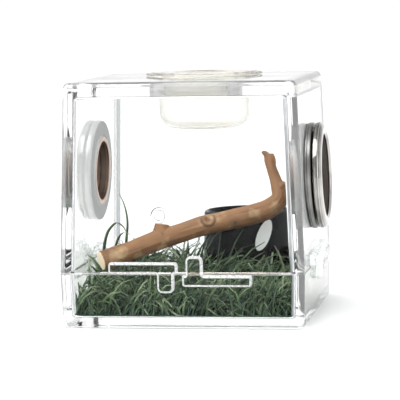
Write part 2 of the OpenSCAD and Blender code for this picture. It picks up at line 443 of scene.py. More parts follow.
def metal(name, dark, light, rough, pitch):
    """Turned steel: painted reflection as light and dark bands along the turning axis, over slight tarnish.
    """
    s = Shader(name)
    s.set(Metallic=1.0)
    stack = s.attribute("stack").outputs["Fac"]
    # Painted reflection: the bands stand in for the light and dark surroundings that the turned faces mirror.
    bands = s.add("ShaderNodeTexNoise", noise_dimensions="1D", Scale=1 / pitch, Detail=3.0, Roughness=0.6)
    s.link(stack, bands.inputs["W"])
    cloud = s.grain(90, 4.0)
    reflections_and_tarnish = s.mix(0.3, bands.outputs["Fac"], cloud)
    s.colour(s.ramp(reflections_and_tarnish, [(0.36, dark), (0.6, light)]))
    s.rough(bands.outputs["Fac"], rough[0], rough[1])
    s.bump(bands.outputs["Fac"], 0.15, 0.0001)
    return s.material


def wire_steel():
    """Dark woven wire with brown tarnish."""
    s = Shader("wire_steel")
    s.set(Metallic=0.85)
    stain = s.grain(260, 4.0)
    browns = [(0.3, (0.012, 0.009, 0.008)), (0.6, (0.05, 0.034, 0.026)), (0.8, (0.12, 0.09, 0.07))]
    s.colour(s.ramp(stain, browns))
    s.rough(stain, 0.3, 0.5)
    return s.material


def rubber(name, dark, light):
    """Washer rubber with a fine grain."""
    s = Shader(name)
    grain = s.grain(1500, 2.0)
    s.colour(s.ramp(grain, [(0.3, dark), (0.7, light)]))
    s.set(Roughness=0.6)
    s.bump(grain, 0.2, 0.0001)
    return s.material


def rim_painted_light():
    """The rounded edge of a small clear moulding in a half-clear whitish colour: painted light, for the light
    that the edge catches.
    """
    s = Shader("rim_painted_light")
    s.set(Base_Color=(0.98, 0.99, 0.99, 1), Specular_Tint=(0.6, 0.6, 0.6, 1))
    s.set(Transmission_Weight=0.45, IOR=ACRYLIC_IOR)
    frost = s.grain(500, 3.0)
    s.rough(frost, 0.15, 0.4)
    s.open_to_lamps((0.9, 0.92, 0.92))
    return s.material


def turf_blade():
    """Extruded plastic grass: each blade has its own green, darker at its root and lighter towards its tip,
    which is painted shade in the pile and painted light on the tips.
    """
    s = Shader("turf_blade")
    tint = s.attribute("tint")
    green = s.ramp(tint.outputs["Fac"], [
        (0.0, (0.007, 0.040, 0.022)), (0.2, (0.022, 0.062, 0.030)), (0.45, (0.075, 0.135, 0.055)),
        (0.7, (0.19, 0.27, 0.13)), (1.0, (0.50, 0.56, 0.36))])
    stripes = s.grain((2600, 2600, 160), 2.0)
    s.colour(s.mix(s.spread(stripes, 0.0, 0.35), green, (0.02, 0.05, 0.02)))
    s.set(Roughness=0.42, Coat_Weight=0.15, Coat_Roughness=0.3)
    s.bump(stripes, 0.3, 0.0001)
    return s.material


def turf_backing_cloth():
    """Woven plastic backing of the turf."""
    s = Shader("turf_backing_weave")
    across = s.add("ShaderNodeTexWave", bands_direction="X", Scale=110.0, Distortion=0.5)
    along = s.add("ShaderNodeTexWave", bands_direction="Y", Scale=110.0, Distortion=0.5)
    where = s.coordinates()
    s.link(where, across.inputs["Vector"])
    s.link(where, along.inputs["Vector"])
    weave = s.mix(0.5, across.outputs["Color"], along.outputs["Color"])
    s.colour(s.mix(weave, (0.008, 0.03, 0.014), (0.03, 0.085, 0.04)))
    s.set(Roughness=0.75)
    s.bump(weave, 0.5, 0.0003)
    return s.material


def stick_wood():
    """Peeled stick: tan fibres along its length, red-brown streaks, darker knots and painted shade on its
    underside.
    """
    s = Shader("stick_wood")
    grain = s.attribute("grain").outputs["Vector"]
    fine = s.add("ShaderNodeMapping", Scale=(45, 260, 260))
    broad = s.add("ShaderNodeMapping", Scale=(16, 60, 60))
    s.link(grain, fine.inputs["Vector"])
    s.link(grain, broad.inputs["Vector"])
    fibre = s.noise(fine.outputs["Vector"], 6.0, 6.0, 0.6)
    streak = s.noise(broad.outputs["Vector"], 5.0, 4.0, 0.55)
    blotch = s.noise(s.coordinates((1, 1, 1)), 130.0, 3.0)
    tans = [(0.40, (0.065, 0.026, 0.010)), (0.49, (0.23, 0.108, 0.042)), (0.60, (0.52, 0.31, 0.15))]
    tan = s.ramp(fibre, tans)
    warm = s.mix(s.ramp(streak, [(0.48, (0, 0, 0)), (0.60, (0.7, 0.7, 0.7))]), tan, (0.20, 0.075, 0.024))
    worn = s.mix(s.ramp(blotch, [(0.54, (0, 0, 0)), (0.68, (0.6, 0.6, 0.6))]), warm, (0.60, 0.42, 0.23))
    # The dark attribute holds knots and random dark marks, and also painted shade on the stick's underside.
    dark = s.attribute("dark").outputs["Fac"]
    cut_end = s.attribute("cut_end").outputs["Fac"]
    knots_and_painted_shade = s.mix(dark, worn, (0.055, 0.024, 0.013))
    s.colour(s.mix(cut_end, knots_and_painted_shade, (0.80, 0.66, 0.46)))
    s.rough(fibre, 0.5, 0.75)
    s.bump(fibre, 0.6, 0.0006)
    return s.material


def black_plastic():
    """Glossy black moulding with a slight orange peel."""
    s = Shader("black_plastic")
    cloud = s.grain(60, 3.0)
    s.colour(s.ramp(cloud, [(0.3, (0.0015, 0.0015, 0.002)), (0.7, (0.004, 0.004, 0.005))]))
    s.rough(cloud, 0.12, 0.24)
    s.main.inputs["Specular IOR Level"].default_value = 0.05
    s.set(Coat_Weight=0.12, Coat_Roughness=0.08)
    s.bump(s.grain(420, 2.0), 0.08, 0.0003)
    return s.material


def white_patch():
    """Plain printed patch, slightly worn."""
    s = Shader("white_patch")
    wear = s.grain(700, 4.0)
    s.colour(s.ramp(wear, [(0.2, (0.80, 0.80, 0.78)), (0.4, (0.97, 0.97, 0.96))]))
    s.set(Roughness=0.45)
    return s.material


def studio_floor():
    """Plain pale floor."""
    s = Shader("studio_floor")
    s.set(Base_Color=(0.93, 0.93, 0.93, 1), Roughness=0.9)
    s.main.inputs["Specular IOR Level"].default_value = 0.1
    return s.material


CLEAR = clear_plastic()
SAWN_PAINTED_SHADE = sawn_plastic_painted_shade()
# Pale and grey lines on the case's rounded edges: painted light and painted shade, for the bright and dark
# lines that these edges show.
PAINTED_LIGHT_EDGE = soft_edge("edge_painted_light", (0.97, 0.98, 0.98), 0.8)
PAINTED_SHADE_EDGE = soft_edge("edge_painted_shade", (0.42, 0.43, 0.45), 0.6)
CASE_FINISHES = [CLEAR, SAWN_PAINTED_SHADE, PAINTED_LIGHT_EDGE, PAINTED_SHADE_EDGE]
SAWN_SHADE_SLOT, PAINTED_LIGHT_SLOT, PAINTED_SHADE_SLOT = 1, 2, 3
CUP = cup_plastic()
FILM = cup_film()
# Dark and light ends of each metal's bands of painted reflection.
STEEL = metal("steel_painted_reflections", (0.03, 0.028, 0.026), (0.36, 0.35, 0.335), (0.16, 0.32), 1.3 * MM)
TUBE = metal("tarnished_tube_painted_reflections", (0.10, 0.055, 0.038), (0.50, 0.37, 0.29), (0.25, 0.4), 0.9 * MM)
CHROME = metal("polished_steel_painted_reflections", (0.05, 0.046, 0.042), (0.60, 0.585, 0.56), (0.05, 0.14), 1.5 * MM)
WIRE = wire_steel()
SEAL = rubber("seal_rubber", (0.70, 0.70, 0.68), (0.82, 0.82, 0.80))
WASHER = rubber("washer_rubber", (0.02, 0.021, 0.022), (0.06, 0.061, 0.063))
PAINTED_RIM_LIGHT = rim_painted_light()
BLADE = turf_blade()
BACKING = turf_backing_cloth()
WOOD = stick_wood()
BLACK = black_plastic()
PATCH = white_patch()

# ---------------------------------------------------------------- case


def outward(joint, across):
    """A frame with its Z along the joint's axis and its X across: its Y, its Z and its turn."""
    out = Vector(joint["axis"]).normalized()
    up = out.cross(across)
    return up, out, Matrix((across, up, out)).transposed().to_4x4()


def vent_place(side):
    """The frame of a vent: Z outwards from the wall's outer face."""
    joint = JOINT[f"ring_{side}_turn"]
    across = Vector((0, 1, 0)) * math.copysign(1, joint["axis"][0])
    return Matrix.Translation(Vector(joint["pos_m"])) @ outward(joint, across)[2]


def plug_place():
    """The frame of the watering plug: Z outwards from the back wall's outer face."""
    low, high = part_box("watering_plug")
    up, out, turn = outward(JOINT["plug_pull"], Vector((-1, 0, 0)))
    z = high.z - PLUG_HEAD_RADIUS * abs(up.z) - PLUG_HEAD_T * out.z
    return Matrix.Translation(((low.x + high.x) / 2, hood_half(z), z)) @ turn


VENT_RADIUS = 21.8 * MM
SCREEN_RADIUS = 16.9 * MM
TUBE_RADIUS = 14.9 * MM
PASSAGE_RADIUS = 12.6 * MM
PLUG_RADIUS = 2.9 * MM
PLUG_HEAD_RADIUS = 3.9 * MM
PLUG_HEAD_T = 2 * MM
CUP_RADIUS = 19.5 * MM
VENT_SIDES = ("right", "left")


def mark_holes(piece, places):
    """Gives the walls of the cut holes the sawn finish, which is greyed with painted shade. places holds
    (frame, radius, low, high).
    """
    for face in piece.data.polygons:
        for place, radius, low, high in places:
            local = place.inverted() @ face.center
            normal = place.inverted().to_3x3() @ face.normal
            away = math.hypot(local.x, local.y)
            on_wall = abs(normal.z) < 0.2 and abs(away - radius) < 0.1 * radius
            if on_wall and low < local.z < high:
                face.material_index = SAWN_SHADE_SLOT


def mark_edges(piece, top=math.inf):
    """Gives the shell's rounded edges their painted lines: pale ones are painted light, grey ones painted
    shade. Over top, the side edges are grey with painted shade as well.
    """
    plain, tilted = 0.985, 0.15
    for face in piece.data.polygons:
        normal, centre = face.normal, face.center
        if max(abs(part) for part in normal) > plain or face.material_index == SAWN_SHADE_SLOT:
            continue
        outside = normal.x * centre.x + normal.y * centre.y > 0
        level = abs(normal.z) > tilted
        if outside and level:
            sideways = abs(normal.x) > abs(normal.y)
            face.material_index = PAINTED_SHADE_SLOT if centre.z > top and sideways else PAINTED_LIGHT_SLOT
        elif outside and max(abs(centre.x), abs(centre.y)) > CASE_HALF - 6 * MM:
            face.material_index = PAINTED_LIGHT_SLOT
        # Inner rounded corners: grey, painted shade.
        elif not outside and not level:
            face.material_index = PAINTED_SHADE_SLOT


def build_hood():
    roof_r = 2.4 * MM
    roof_start = ROOF_Z - roof_r
    edge = JOINT_EDGE
    inner_r = 1.4 * MM
    inner_start = ROOF_Z - ROOF_T - inner_r
    outer = [rounded_square(CASE_HALF - edge, CORNER_R - edge, SPLIT_Z),
             rounded_square(CASE_HALF, CORNER_R, SPLIT_Z + edge)]
    outer += [rounded_square(hood_half(roof_start) - back, CORNER_R - back * 0.9, roof_start + rise)
              for back, rise in arc(roof_r, 7)]
    inner = [rounded_square(CASE_HALF - HOOD_WALL + edge, CORNER_R - MM, SPLIT_Z),
             rounded_square(CASE_HALF - HOOD_WALL, CORNER_R - MM, SPLIT_Z + edge)]
    inner_half = hood_half(inner_start) - HOOD_WALL
    inner += [rounded_square(inner_half - back, CORNER_R - MM - back * 0.6, inner_start + rise)
              for back, rise in arc(inner_r, 5)]
    piece = make_object("hood_shell", open_box("hood_shell", outer, inner), CASE_FINISHES, "hood")
    port = Matrix.Translation(((CUP_LOW.x + CUP_HIGH.x) / 2, (CUP_LOW.y + CUP_HIGH.y) / 2, ROOF_Z))
    reach = 8 * MM
    holes = [(port, CUP_RADIUS + 0.1 * MM, -ROOF_T - reach, reach)]
    holes += [(vent_place(side), TUBE_RADIUS + 0.1 * MM, -HOOD_WALL - reach, reach) for side in VENT_SIDES]
    holes.append((plug_place(), PLUG_RADIUS + 0.05 * MM, -HOOD_WALL - reach, reach))
    cut(piece, *[cylinder_cutter(radius, place, low, high) for place, radius, low, high in holes])
    mark_holes(piece, holes)
    mark_edges(piece, roof_start)
    shade(piece)


def build_tray():
    foot_r = 1.2 * MM
    edge = JOINT_EDGE
    floor_r = 1.3 * MM
    outer = [rounded_square(CASE_HALF - edge, CORNER_R - edge, SPLIT_Z),
             rounded_square(CASE_HALF, CORNER_R, SPLIT_Z - edge)]
    outer += [rounded_square(tray_half(foot_r) - back, CORNER_R - back * 0.8, foot_r - drop)
              for back, drop in arc(foot_r, 5)]
    inner = [rounded_square(CASE_HALF - TRAY_WALL + edge, CORNER_R - MM, SPLIT_Z),
             rounded_square(CASE_HALF - TRAY_WALL, CORNER_R - MM, SPLIT_Z - edge)]
    inner += [rounded_square(tray_half(FLOOR_T + floor_r) - TRAY_WALL - back, CORNER_R - MM - back * 0.6,
                             FLOOR_T + floor_r - drop)
              for back, drop in arc(floor_r, 5)]
    piece = make_object("tray_shell", open_box("tray_shell", outer, inner), CASE_FINISHES, "base_tray")
    mark_edges(piece)
    shade(piece)


def inset_outline(corners, inset):
    """An anticlockwise outline of upright and level edges, moved inwards, with its corners rounded."""
    moved = []
    for i, (x, y, r) in enumerate(corners):
        before = Vector((x, y)) - Vector(corners[i - 1][:2])
        after = Vector(corners[(i + 1) % len(corners)][:2]) - Vector((x, y))
        shift = Vector((-before.y, before.x)).normalized() + Vector((-after.y, after.x)).normalized()
        hollow = before.x * after.y - before.y * after.x < 0
        radius = r + inset if hollow else max(r - inset, 0.05 * MM)
        moved.append((x + shift.x * inset, y + shift.y * inset, radius))
    return rounded_outline(moved)


def lug_mesh(name, half_at, turn, flip):
    """A lug on the front face, turned to its side. flip puts its rib below the joint line."""
    rib_gap, rib_len, rib_step, rib_h = 0.9 * MM, 28.3 * MM, 0.3 * MM, 4.6 * MM
    tab_start, tab_w, tab_reach, thick = 2.4 * MM, 6.9 * MM, 7.5 * MM, 2.2 * MM
    near, far, top = -rib_gap, -rib_gap - rib_len, rib_step + rib_h
    tab_near, tab_far = -tab_start, -tab_start - tab_w
    corners = [(far, rib_step, MM), (tab_far, rib_step, 0.7 * MM), (tab_far, -tab_reach, 2.2 * MM),
               (tab_near, -tab_reach, 2.2 * MM), (tab_near, rib_step, 0.2 * MM), (near, rib_step, 0.5 * MM),
               (near, top, 1.3 * MM), (far, top, 1.3 * MM)]
    gap, seat, rounding = 0.12 * MM, 0.03 * MM, 1.25 * MM
    front = CASE_HALF + gap + thick - 0.02 * MM
    rings = [[Vector((p.x, -front + back, p.y)) for p in inset_outline(corners, rounding - side)]
             for back, side in arc(rounding, 6)]
    wall_line = []
    for p in inset_outline(corners, 0):
        on_wall = half_at(SPLIT_Z + (-p.y if flip else p.y)) + seat
        wall_line.append(Vector((p.x, -on_wall if p.y > 0.2 * MM else -CASE_HALF - gap, p.y)))
    rings.append(wall_line)
    verts, faces = capped(rings)
    if flip:
        verts = [Vector((-v.x, v.y, -v.z)) for v in verts]
    move = Matrix.Rotation(math.radians(turn), 4, "Z") @ Matrix.Translation((0, 0, SPLIT_Z))
    return mesh_from(name, [move @ v for v in verts], faces)


def build_lugs():
    for turn, side in ((0, "front"), (90, "right"), (180, "back"), (270, "left")):
        for kind, half_at, flip in (("hood", hood_half, False), ("base", tray_half, True)):
            name = f"{kind}_lug_{side}"
            mesh = lug_mesh(name + "_moulding", half_at, turn, flip)
            piece = make_object(name + "_moulding", mesh, [CLEAR, PAINTED_RIM_LIGHT], name)
            outwards = Vector((math.sin(math.radians(turn)), -math.cos(math.radians(turn)), 0))
            # Every face but the flat front and back gets the whitish painted light of the rims.
            for face in mesh.polygons:
                face.material_index = 0 if abs(face.normal.dot(outwards)) > 0.95 else 1
            shade(piece)


# ---------------------------------------------------------------- vents

GASKET_T = 0.6 * MM
# The soft washer wets the polished wall, so it shows through the wall without an air gap
WASHER_SINK = 0.02 * MM
FLANGE_T = 2.4 * MM
SCREEN_AT = 5.6 * MM
SCREEN_T = 0.4 * MM
RING_START = 3.7 * MM
RING_END = 7.2 * MM
BOSS_RADIUS = 18.2 * MM


def mark_stack(piece, place):
    """Stores each point's distance along the turning axis, which the metal's bands of painted reflection
    follow.
    """
    back = place.inverted()
    layer = piece.data.attributes.new("stack", "FLOAT", "POINT")
    layer.data.foreach_set("value", [(back @ v.co).z for v in piece.data.vertices])


def build_vent(side):
    place = vent_place(side)
    flange_end = GASKET_T + FLANGE_T
    hole_r, rim_r = TUBE_RADIUS + 0.4 * MM, VENT_RADIUS - 0.4 * MM
    washer = lathe(f"washer_{side}", [(hole_r, -WASHER_SINK), (rim_r, -WASHER_SINK), (rim_r, GASKET_T),
                                      (hole_r, GASKET_T)], place)
    piece = make_object(f"washer_{side}", washer, [WASHER], f"vent_gasket_{side}")
    shade(piece)

    boss_r, boss_end = BOSS_RADIUS - 0.3 * MM, SCREEN_AT - 0.1 * MM
    profile = [(PASSAGE_RADIUS, -HOOD_WALL), (TUBE_RADIUS, -HOOD_WALL), (TUBE_RADIUS, GASKET_T),
               (VENT_RADIUS, GASKET_T), (VENT_RADIUS, flange_end), (boss_r, flange_end), (boss_r, boss_end),
               (SCREEN_RADIUS, boss_end), (PASSAGE_RADIUS, flange_end - MM)]
    body = lathe(f"vent_flange_{side}", profile, place)
    piece = make_object(f"vent_flange_{side}", body, [STEEL, TUBE], f"vent_body_{side}")
    bevel(piece, 0.45 * MM, 3, 60)
    shade(piece)
    mark_stack(piece, place)
    back = place.inverted()
    for face in piece.data.polygons:
        face.material_index = 1 if (back @ face.center).z < 0.5 * GASKET_T else 0

    lip_at = SCREEN_AT + SCREEN_T
    ring = lathe(f"screw_ring_{side}", [
        (BOSS_RADIUS + 0.05 * MM, RING_START), (VENT_RADIUS - 0.2 * MM, RING_START),
        (VENT_RADIUS, RING_START + 0.4 * MM), (VENT_RADIUS, RING_END - 1.5 * MM),
        (VENT_RADIUS - 1.2 * MM, RING_END - 0.25 * MM), (VENT_RADIUS - 2.2 * MM, RING_END),
        (SCREEN_RADIUS + 0.9 * MM, RING_END), (SCREEN_RADIUS, RING_END - 0.6 * MM),
        (SCREEN_RADIUS, lip_at), (BOSS_RADIUS + 0.05 * MM, lip_at)], place, 160)
    piece = make_object(f"screw_ring_{side}", ring, [CHROME], f"vent_ring_{side}")
    bevel(piece, 0.25 * MM, 3, 20)
    shade(piece, 50)
    mark_stack(piece, place)

    build_screen(side, place)


def build_screen(side, place):
    """Woven wire cloth: wires one way go over and under the wires the other way."""
    pitch, wire_r, sides = 0.9 * MM, 0.14 * MM, 4
    radius = BOSS_RADIUS - 0.35 * MM
    middle = SCREEN_AT + SCREEN_T / 2
    swing = 0.12 * MM
    verts, faces = [], []
    count = int(radius / pitch)
    for family in (0, 1):
        for k in range(-count, count + 1):
            offset = k * pitch
            reach = math.sqrt(max(radius * radius - offset * offset, 0))
            steps = max(2, 2 * int(reach / (pitch / 2)))
            rings = []
            for i in range(steps + 1):
                along = -reach + 2 * reach * i / steps
                lift = swing * math.cos(math.pi * (along / pitch + k + family))
                ring = []
                for q in range(sides):
                    turn = math.pi * (2 * q + 1) / sides
                    side_step, rise = wire_r * math.cos(turn), wire_r * math.sin(turn) + lift
                    local = Vector((along, offset + side_step, middle + rise))
                    ring.append(place @ (local if family == 0 else Vector((local.y, local.x, local.z))))
                rings.append(ring)
            more, their_faces = capped(rings, len(verts))
            verts += more
            faces += their_faces
    mesh = mesh_from(f"wire_screen_{side}", verts, faces)
    piece = make_object(f"wire_screen_{side}", mesh, [WIRE], f"vent_mesh_{side}")
    smooth(piece)


# ---------------------------------------------------------------- feeding cup and plug


def build_cup():
    place = Matrix.Translation(((CUP_LOW.x + CUP_HIGH.x) / 2, (CUP_LOW.y + CUP_HIGH.y) / 2, 0))
    bottom, top = CUP_LOW.z, CUP_HIGH.z
    flange_low = SEAL_HIGH.z
    flange_r = (CUP_HIGH.x - CUP_LOW.x) / 2
    wall, corner = 1.2 * MM, 7 * MM
    turns = [math.radians(90 * i / 8) for i in range(9)]

    def foot(radius, low, r):
        """The rounded foot of a cup wall, from its flat bottom up to its side."""
        return [(radius - r + r * math.sin(t), low + r - r * math.cos(t)) for t in turns]

    outside = [(0, bottom)] + foot(CUP_RADIUS, bottom, corner)
    outside += [(CUP_RADIUS, flange_low), (flange_r, flange_low), (flange_r, top)]
    inner_r, floor = CUP_RADIUS - wall, bottom + wall
    inside = [(inner_r, top)] + foot(inner_r, floor, corner - wall)[::-1] + [(0, floor)]
    piece = make_object("roof_cup", lathe("roof_cup", outside + inside, place), [CUP], "feeding_cup")
    bevel(piece, 0.15 * MM, 2, 50)
    shade(piece)

    seal_in, seal_out = CUP_RADIUS + 0.5 * MM, (SEAL_HIGH.x - SEAL_LOW.x) / 2
    mesh = lathe("cup_washer", [(seal_in, SEAL_LOW.z), (seal_out, SEAL_LOW.z), (seal_out, SEAL_HIGH.z),
                                (seal_in, SEAL_HIGH.z)], place)
    piece = make_object("cup_washer", mesh, [SEAL], "cup_seal")
    shade(piece)

    build_lid(place)


def build_lid(place):
    rim_top, skirt_low, rim_r = LID_HIGH.z, LID_LOW.z, (LID_HIGH.x - LID_LOW.x) / 2
    rim_low = CUP_HIGH.z
    skirt_r = CUP_RADIUS - 1.3 * MM
    dish_r, dish_z = 13 * MM, skirt_low + 1.2 * MM
    profile = [(0, skirt_low), (skirt_r - 0.5 * MM, skirt_low), (skirt_r, skirt_low + 0.6 * MM),
               (skirt_r, rim_low), (rim_r, rim_low), (rim_r, rim_top), (dish_r + 0.8 * MM, rim_top),
               (dish_r, rim_top - 0.8 * MM), (dish_r - 0.3 * MM, dish_z), (0, dish_z)]
    piece = make_object("cup_cover", lathe("cup_cover", profile, place), [FILM], "cup_lid")
    bevel(piece, 0.12 * MM, 2, 40)
    shade(piece)
    half_w = 1.5 * MM
    reach = math.sqrt(dish_r ** 2 - half_w ** 2) - 0.2 * MM
    steps = 24
    rings = []
    for i in range(steps + 1):
        x = -reach + 2 * reach * i / steps
        high = rim_top - 0.5 * MM - 1.2 * MM * (1 - (x / reach) ** 2)
        rings.append([place @ Vector((x, y, z)) for y, z in
                      ((-half_w, dish_z - 0.1 * MM), (half_w, dish_z - 0.1 * MM),
                       (half_w * 0.85, high - 0.3 * MM), (half_w * 0.4, high),
                       (-half_w * 0.4, high), (-half_w * 0.85, high - 0.3 * MM))])
    grip = make_object("cup_cover_grip", mesh_from("cup_cover_grip", *capped(rings)), [FILM],
                       body=BODY_OF["cup_lid"])
    shade(grip, 50)


def build_plug():
    place = plug_place()
    tail, head_r, head_t = -HOOD_WALL - 2.2 * MM, PLUG_HEAD_RADIUS, PLUG_HEAD_T
    profile = [(0, tail), (PLUG_RADIUS - 0.6 * MM, tail), (PLUG_RADIUS, tail + 0.6 * MM),
               (PLUG_RADIUS, 0.02 * MM), (head_r, 0.02 * MM), (head_r, head_t - 0.7 * MM),
               (head_r - 0.6 * MM, head_t - 0.05 * MM), (head_r - 1.4 * MM, head_t),
               (head_r - 2.0 * MM, head_t - 0.5 * MM), (0, head_t - 0.5 * MM)]
    piece = make_object("back_plug", lathe("back_plug", profile, place, 64), [CLEAR], "watering_plug")
    bevel(piece, 0.15 * MM, 2, 40)
    shade(piece)


# ---------------------------------------------------------------- stick

# Middle line and radius of the stick, in millimetres, from the sawn end to the tip
STICK = [
    (-37.6, -25.8, 24.8, 4.0), (-32, -22.2, 26.3, 4.1), (-26.5, -18.8, 27.9, 4.2), (-20.5, -16, 30.2, 4.15),
    (-14.2, -13, 32.3, 4.35), (-6.5, -10, 34.6, 4.1), (1.5, -7.3, 36.9, 4.25), (11, -4.6, 38.9, 4.1),
    (20.8, -2, 40.9, 4.15), (28, -0.2, 43, 4.2), (32.7, 1.6, 45.8, 4.05), (33.9, 3, 49.5, 3.5),
    (32.2, 4.7, 55.2, 2.5), (30.2, 6.5, 60.2, 2.2), (29.5, 7.8, 63.4, 2.5), (28.9, 8.5, 65.8, 2.0)]
STUB = [(-14.4, -12.7, 33.2, 4.2), (-14.2, -12.3, 36.2, 3.4), (-14, -12, 38.6, 2.9)]
SPURS = [[(28.8, 8.3, 64.6, 1.6), (27.4, 8.1, 66.4, 1.1), (26.1, 8, 67, 0.6)],
         [(34.6, 2.6, 52, 1.8), (36.4, 1.4, 54.4, 1.2)]]
# Knots: place, size and how strongly a ring stands up round it
KNOTS = [((5.2, -9.6, 40.2), 2.7, 1), ((34.6, 0.4, 54), 1.6, 0.3), ((-13, -16.6, 34.8), 1.3, 0),
         ((16, -7.2, 38.5), 1.1, 0), ((33, -2, 43.5), 1.4, 0.2), ((-28, -23.5, 27), 1.2, 0)]


def spline(points, steps):
    """Catmull-Rom through points of any dimension."""
    ends = [tuple(2 * a - b for a, b in zip(points[0], points[1]))] + list(points)
    ends.append(tuple(2 * a - b for a, b in zip(points[-1], points[-2])))
    out = []
    for i in range(1, len(ends) - 2):
        for k in range(steps):
            t = k / steps
            near = zip(*ends[i - 1:i + 3])
            out.append(tuple(0.5 * (2 * b + (c - a) * t + (2 * a - 5 * b + 4 * c - d) * t * t
                                    + (3 * b - a - 3 * c + d) * t ** 3) for a, b, c, d in near))
    out.append(tuple(points[-1]))
    return out


def swept(points, sides, first):
    """Verts and faces of a closed round tube through (x, y, z, radius) points in millimetres."""
    centres = [Vector(p[:3]) * MM for p in points]
    guide = Vector((0, 0, 1))
    rings = []
    for i, centre in enumerate(centres):
        ahead = (centres[min(i + 1, len(centres) - 1)] - centres[max(i - 1, 0)]).normalized()
        guide = (guide - ahead * guide.dot(ahead)).normalized()
        other = ahead.cross(guide)
        radius = points[i][3] * MM
        rings.append([centre + (guide * math.cos(t) + other * math.sin(t)) * radius
                      for t in (2 * math.pi * k / sides for k in range(sides))])
    return capped(rings, first)


def build_stick():
    line = spline(STICK, 14)
    verts, faces = swept(line, 40, 0)
    for part in [STUB] + SPURS:
        more, their_faces = swept(spline(part, 8), 24, len(verts))
        verts += more
        faces += their_faces
    mesh = mesh_from("peeled_stick", verts, faces)
    piece = make_object("peeled_stick", mesh, [WOOD], "branch")
    remesh = piece.modifiers.new("one skin", "REMESH")
    remesh.mode = "VOXEL"
    remesh.voxel_size = 0.35 * MM
    apply_modifiers(piece)
    carve_stick(piece.data, line)
    smooth(piece)
    piece.data.set_sharp_from_angle(angle=math.radians(60))


def carve_stick(mesh, line):
    """Grooves, bumps and knots on the stick, and the attributes that its material reads."""
    centres = [Vector(p[:3]) * MM for p in line]
    lengths = [0.0]
    for a, b in zip(centres, centres[1:]):
        lengths.append(lengths[-1] + (b - a).length)
    start_dir = (centres[1] - centres[0]).normalized()
    grain = mesh.attributes.new("grain", "FLOAT_VECTOR", "POINT")
    dark = mesh.attributes.new("dark", "FLOAT", "POINT")
    cut_end = mesh.attributes.new("cut_end", "FLOAT", "POINT")
    grown = []
    for v in mesh.vertices:
        k = min(range(len(centres)), key=lambda i: (centres[i] - v.co).length_squared)
        ahead = (centres[min(k + 1, len(centres) - 1)] - centres[max(k - 1, 0)]).normalized()
        off = v.co - centres[k]
        side = off - ahead * off.dot(ahead)
        out = side.normalized() if side.length > 1e-6 else off.normalized()
        along = lengths[k] + off.dot(ahead)
        grain.data[v.index].vector = (along, out.z * 4 * MM, out.y * 4 * MM)
        at_end = (v.co - centres[0]).dot(start_dir) < 0.25 * MM
        swell = noise.noise(Vector((along * 120, out.x * 1.3, out.z * 1.3))) * 0.30 * MM
        groove = noise.noise(Vector((along * 60, out.x * 5.5, out.z * 5.5 + 7))) * 0.22 * MM
        shift = out * (swell + groove) * (0.15 if at_end else 1)
        # Random dark marks, plus painted shade on the underside; the knots are added below.
        darkness_and_painted_shade = 0.5 * max(0.0, noise.noise(v.co * 160 + Vector((3, 1, 5)))) + 0.55 * max(0.0, -out.z - 0.1)
        for centre, size, ring in KNOTS:
            away = (v.co - Vector(centre) * MM).length / (size * MM)
            shift += out * ring * 0.5 * MM * math.exp(-((away - 0.75) / 0.35) ** 2)
            shift -= out * 0.3 * MM * math.exp(-(away / 0.4) ** 2)
            halo = ring * 0.8 * math.exp(-((away - 1.05) / 0.18) ** 2)
            darkness_and_painted_shade += halo + 0.7 * math.exp(-(away / 0.45) ** 2)
        dark.data[v.index].value = min(darkness_and_painted_shade, 1.0)
        cut_end.data[v.index].value = 1.0 if at_end else 0.0
        grown.append((v.index, shift))
    for index, shift in grown:
        mesh.vertices[index].co += shift


# ---------------------------------------------------------------- hide


HIDE_RADIUS = (HIDE_HIGH.x - HIDE_LOW.x) / 2
HIDE_TAPER = MM


def build_hide():
    """A squat round cave whose top is a shallow dish, with an arched way in."""
    middle = (HIDE_LOW + HIDE_HIGH) / 2
    place = Matrix.Translation((middle.x, middle.y, HIDE_LOW.z))
    tall = HIDE_HIGH.z - HIDE_LOW.z
    wall, edge, rim_w, dish_depth = 1.8 * MM, 1.2 * MM, 1.6 * MM, 2 * MM
    top_r = HIDE_RADIUS - HIDE_TAPER
    dish_r, dish_z = top_r - rim_w, tall - dish_depth
    outside = [(HIDE_RADIUS, 0), (HIDE_RADIUS - 0.02 * MM, 0.6 * MM)]
    outside += [(top_r - back, tall - edge + rise) for back, rise in arc(edge, 6)]
    outside += [(dish_r, tall - 0.2 * MM), (dish_r - 0.4 * MM, dish_z + 0.8 * MM),
                (dish_r - 1.2 * MM, dish_z + 0.1 * MM), (dish_r * 0.6, dish_z - 0.1 * MM),
                (0, dish_z - 0.15 * MM)]
    ceiling = dish_z - wall
    inside = [(0, ceiling), (top_r - wall - 2 * MM, ceiling), (top_r - wall - 0.5 * MM, ceiling - 0.6 * MM),
              (top_r - wall, ceiling - 2 * MM), (HIDE_RADIUS - wall, 0)]
    piece = make_object("round_hide", lathe("round_hide", outside + inside, place, 96), [BLACK], "hide")
    door_r, door_z, door_turn = 8.5 * MM, 12.5 * MM, math.radians(62)
    outline = [(-door_r, -3 * MM)] + [(-door_r * math.cos(t), door_z + door_r * math.sin(t))
                                      for t in (math.pi * i / 24 for i in range(25))] + [(door_r, -3 * MM)]
    turn = place @ Matrix.Rotation(door_turn, 4, "Z")
    rings = [[turn @ Vector((x, y, z)) for x, z in outline] for y in (0, -HIDE_RADIUS - 6 * MM)]
    cut(piece, make_object("cutter", mesh_from("cutter", *capped(rings)), []))
    bevel(piece, 0.35 * MM, 3, 45)
    shade(piece)
    build_badge(place, tall)


